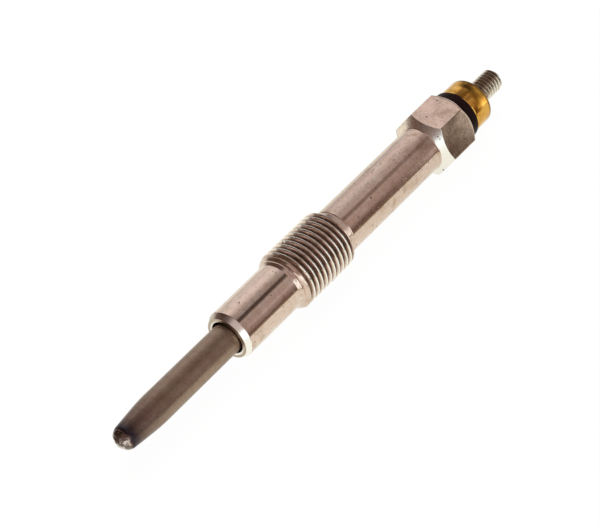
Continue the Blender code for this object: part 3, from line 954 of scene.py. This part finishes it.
# The studio round the plug, in columns by how far a direction points along the plug, from -1 at the tip's
# side to 1 at the terminal's. A column has the value where it starts to blend into the next one, the value
# where that ends, and its stops. A stop is the degrees above the front horizon, the brightness, and the
# warmth of its tint. A comment names the piece that mirrors the column in the photograph's view.
COLUMNS = [
    # The hexagon's cone
    (-0.85, -0.62, [
        (0, 1.35, -0.4), (26, 1.35, -0.4), (38, 0.30, 0.8), (60, 0.25, 1.0), (92, 0.22, 1.0),
        (104, 0.20, 1.1), (113, 0.15, 1.0), (180, 0.15, 1.1),
    ]),
    # The nose's seat and end face
    (0.00, 0.20, [
        (0, 1.35, -0.4), (32, 1.35, -0.4), (42, 0.52, 0.6), (60, 0.52, 0.6), (94, 0.50, 0.5),
        (106, 0.14, 1.0), (140, 0.12, 1.2), (180, 0.16, 1.2),
    ]),
    # Heater tube
    (0.455, 0.475, [
        (0, 0.17, 1.1), (9, 0.23, 0.9), (23, 0.31, 0.7), (37, 0.37, 0.6), (50, 0.45, 0.5),
        (64, 0.52, 0.5), (77, 0.28, 0.6), (90, 0.36, 0.4), (104, 0.39, 0.2), (119, 0.60, 0.1),
        (135, 0.98, 0.0), (152, 0.92, 0.0), (173, 0.68, -0.3), (180, 0.64, -0.3),
    ]),
    # Front of the lower shank
    (0.490, 0.505, [
        (0, 0.14, 1.2), (4, 0.18, 1.2), (12, 0.29, 0.9), (21, 0.35, 0.8), (31, 0.50, 0.6),
        (40, 0.38, 0.8), (55, 0.31, 0.8), (66, 0.36, 0.8), (71, 0.06, 1.0), (84, 0.03, 1.1),
        (87, 0.31, 0.5), (97, 0.39, 0.4), (106, 0.44, 0.3), (116, 0.60, 0.3), (126, 0.74, 0.2),
        (136, 0.95, 0.0), (150, 0.88, 0.0), (160, 0.85, 0.0), (174, 0.75, -0.1), (180, 0.90, -0.2),
    ]),
    # Rear of the lower shank
    (0.515, 0.56, [
        (0, 0.155, 1.1), (4, 0.21, 1.0), (12, 0.36, 0.6), (21, 0.42, 0.5), (31, 0.65, 0.3),
        (40, 0.53, 0.4), (55, 0.50, 0.3), (66, 0.60, 0.3), (71, 0.09, 0.8), (84, 0.03, 1.0),
        (87, 0.34, 0.4), (97, 0.41, 0.3), (106, 0.485, 0.15), (116, 0.75, 0.1), (126, 0.98, 0.0),
        (136, 0.975, 0.0), (150, 0.88, 0.0), (160, 0.85, 0.0), (174, 0.85, -0.1), (180, 0.92, -0.2),
    ]),
    # Upper shank
    (0.595, 0.607, [
        (0, 0.20, 1.2), (8, 0.120, 1.5), (17, 0.13, 1.3), (26, 0.290, 0.9), (36, 0.425, 0.65),
        (54, 0.485, 0.6), (65, 0.535, 0.5), (70, 0.30, 0.7), (81, 0.28, 0.7), (87, 0.54, 0.4),
        (100, 0.53, 0.3), (109, 0.50, 0.2), (119, 0.60, 0.15), (130, 0.69, 0.1), (141, 0.79, 0.1),
        (154, 0.72, 0.2), (168, 0.63, 0.1), (180, 0.57, -0.2),
    ]),
    # Hexagon and nut
    (0.6255, 0.635, [
        (0, 0.60, 0.5), (3, 0.72, 0.4), (8, 0.95, 0.2), (18, 0.85, 0.3), (27, 0.38, 0.5),
        (38, 0.24, 0.6), (55, 0.18, 0.7), (68, 0.21, 0.7), (76, 0.28, 0.6), (88, 0.30, 0.6),
        (98, 0.42, 0.6), (106, 0.78, 0.2), (114, 1.02, 0.2), (145, 1.02, 0.1), (158, 1.05, 0.0),
        (180, 0.90, -0.3),
    ]),
    # Terminal
    (0.650, 0.690, [
        (0, 1.90, 0.0), (10, 2.10, 0.0), (30, 0.80, 0.1), (49, 0.36, 0.2), (68, 0.20, 0.4),
        (87, 0.10, 0.5), (106, 0.05, 0.5), (128, 0.06, 0.5), (152, 0.18, 0.3), (170, 0.70, 0.0),
        (180, 1.00, -0.2),
    ]),
    # Slopes turned to the terminal
    (None, None, [
        (0, 1.20, -0.1), (26, 1.00, 0.0), (40, 0.55, 0.2), (180, 0.58, 0.1),
    ]),
]


def sky(tree, share, stops):
    """A column of the studio. Warmth takes some green and more blue away, and below zero it adds them."""
    tinted = []
    for degrees, level, warmth in stops:
        tinted.append((degrees / 180, (level, level * (1 - 0.30 * warmth), level * (1 - 0.40 * warmth))))
    return ramp(tree, share, tinted)


def studio_world():
    """A soft studio round the plug, made of the columns above, on white for the camera."""
    world = bpy.data.worlds.new("studio")
    world.use_nodes = True
    bpy.context.scene.world = world
    tree = world.node_tree
    tree.nodes.clear()
    direction = add_node(tree, "ShaderNodeTexCoord").outputs["Generated"]
    parts = add_node(tree, "ShaderNodeSeparateXYZ", {0: direction}).outputs
    front = product(tree, parts[1], -1.0)
    share = maths(tree, "DIVIDE", maths(tree, "ARCTAN2", parts[2], front), math.pi)
    colour = sky(tree, share, COLUMNS[0][2])
    for (start, end, _), (_, _, following) in zip(COLUMNS, COLUMNS[1:]):
        colour = mix(tree, between(tree, parts[0], start, end), colour, sky(tree, share, following))
    around = add_node(tree, "ShaderNodeBackground", {"Color": colour, "Strength": 1.0})
    white = add_node(tree, "ShaderNodeBackground", {"Color": (1.0, 1.0, 1.0, 1.0), "Strength": 1.0})
    seen = add_node(tree, "ShaderNodeLightPath").outputs["Is Camera Ray"]
    both = add_node(tree, "ShaderNodeMixShader", {0: seen, 1: around.outputs[0], 2: white.outputs[0]})
    add_node(tree, "ShaderNodeOutputWorld", {0: both.outputs[0]})


SHEET_WHITE = (0.91, 0.93, 0.85)
SHEET_BY_TIP = (0.98, 1.01, 0.94)
FRONT_OF_SHEET = (0.26, 0.20, 0.145)
BACK_OF_SHEET = (0.70, 0.68, 0.68)
# Painted shade on the floor by the tip, seen only in reflections.
PAINTED_SHADE_PATCH = (0.24, 0.20, 0.17)


def sheet_colour(tree, place):
    """What reflections show of the floor: a white sheet, dimmer ground round it, a patch of painted shade
    by the tip.
    """
    parts = add_node(tree, "ShaderNodeSeparateXYZ", {0: place}).outputs
    front = between(tree, parts[1], SHEET_FRONT - SHEET_BLEND, SHEET_FRONT)
    past_tip = between(tree, parts[0], -0.03, -0.06)
    slanted = total(tree, parts[0], product(tree, parts[1], SHEET_SIDE_SLANT))
    past_nut = between(tree, slanted, SHEET_SIDE_START, SHEET_SIDE_END)
    on_sheet = maths(tree, "MAXIMUM", maths(tree, "MAXIMUM", front, past_tip), past_nut)
    near_tip = between(tree, parts[0], 0.022, 0.002)
    sheet = mix(tree, near_tip, SHEET_WHITE, SHEET_BY_TIP)
    colour = mix(tree, on_sheet, FRONT_OF_SHEET, sheet)
    back = between(tree, parts[1], SHEET_BACK, SHEET_BACK + SHEET_BLEND)
    colour = mix(tree, back, colour, BACK_OF_SHEET)
    # Painted shade on the floor beside and past the tip.
    beyond_tip = between(tree, parts[0], TIP_X + 0.001, TIP_X - 0.003)
    behind_tip = product(tree, beyond_tip, between(tree, parts[1], -0.001, 0.003))
    return mix(tree, behind_tip, colour, PAINTED_SHADE_PATCH)


def floor_material():
    """A floor that is white to the camera, with a faint shadow, and a sheet of its own in reflections."""
    material = bpy.data.materials.new("floor")
    material.use_nodes = True
    tree = material.node_tree
    shader = tree.nodes["Principled BSDF"]
    shader.inputs["Base Color"].default_value = (0.85, 0.84, 0.83, 1.0)
    shader.inputs["Roughness"].default_value = 1.0
    shader.inputs["Specular IOR Level"].default_value = 0.0
    place = add_node(tree, "ShaderNodeTexCoord").outputs["Object"]
    paths = add_node(tree, "ShaderNodeLightPath").outputs
    colour = mix(tree, paths["Is Camera Ray"], sheet_colour(tree, place), (1.02, 1.02, 1.02))
    glow = add_node(tree, "ShaderNodeEmission", {"Color": colour, "Strength": 1.0})
    seen = maths(tree, "MAXIMUM", paths["Is Camera Ray"], paths["Is Glossy Ray"])
    seen = maths(tree, "MAXIMUM", seen, paths["Is Transmission Ray"])
    weight = product(tree, seen, 0.95)
    both = add_node(tree, "ShaderNodeMixShader", {0: weight, 1: shader.outputs[0], 2: glow.outputs[0]})
    tree.links.new(both.outputs[0], tree.nodes["Material Output"].inputs[0])
    return material


def floor():
    mesh = bpy.data.meshes.new("floor")
    signs = [(-1, -1), (1, -1), (1, 1), (-1, 1)]
    corners = [(FLOOR_HALF * side, FLOOR_HALF * depth, 0.0) for side, depth in signs]
    mesh.from_pydata(corners, [], [(0, 1, 2, 3)])
    mesh.materials.append(floor_material())
    plane = bpy.data.objects.new("floor", mesh)
    bpy.context.scene.collection.objects.link(plane)


def lamp():
    """A large soft lamp over the plug, for the floor and the plastic. Metal mirrors the studio instead."""
    light = bpy.data.lights.new("soft_lamp", "AREA")
    light.shape = "DISK"
    light.size = 0.5
    light.energy = 2.2
    lamp_object = bpy.data.objects.new("soft_lamp", light)
    lamp_object.location = LAMP_PLACE
    lamp_object.rotation_euler = (-LAMP_PLACE).to_track_quat("-Z", "Y").to_euler()
    lamp_object.visible_glossy = False
    bpy.context.scene.collection.objects.link(lamp_object)


def camera():
    """The camera, at the photograph's viewing angle."""
    data = bpy.data.cameras.new("camera")
    data.lens = LENS
    data.sensor_width = SENSOR
    data.clip_start = 0.01
    data.clip_end = 10.0
    back = Vector((
        math.sin(CAMERA_AZIMUTH) * math.cos(CAMERA_ELEVATION),
        -math.cos(CAMERA_AZIMUTH) * math.cos(CAMERA_ELEVATION),
        math.sin(CAMERA_ELEVATION),
    ))
    turn = (-back).to_track_quat("-Z", "Y").to_matrix().to_4x4() @ Matrix.Rotation(CAMERA_ROLL, 4, "Z")
    view = bpy.data.objects.new("camera", data)
    view.matrix_world = Matrix.Translation(CAMERA_TARGET + back * CAMERA_DISTANCE) @ turn
    bpy.context.scene.collection.objects.link(view)
    bpy.context.scene.camera = view


shell(nickel_material())
heater_sheath(sheath_material())
insulating_washer(polyamide_material())
round_nut(brass_material())
centre_electrode(terminal_material())
dress_inner_pieces()
studio_world()
floor()
lamp()
camera()
bpy.context.scene.view_settings.view_transform = "Standard"
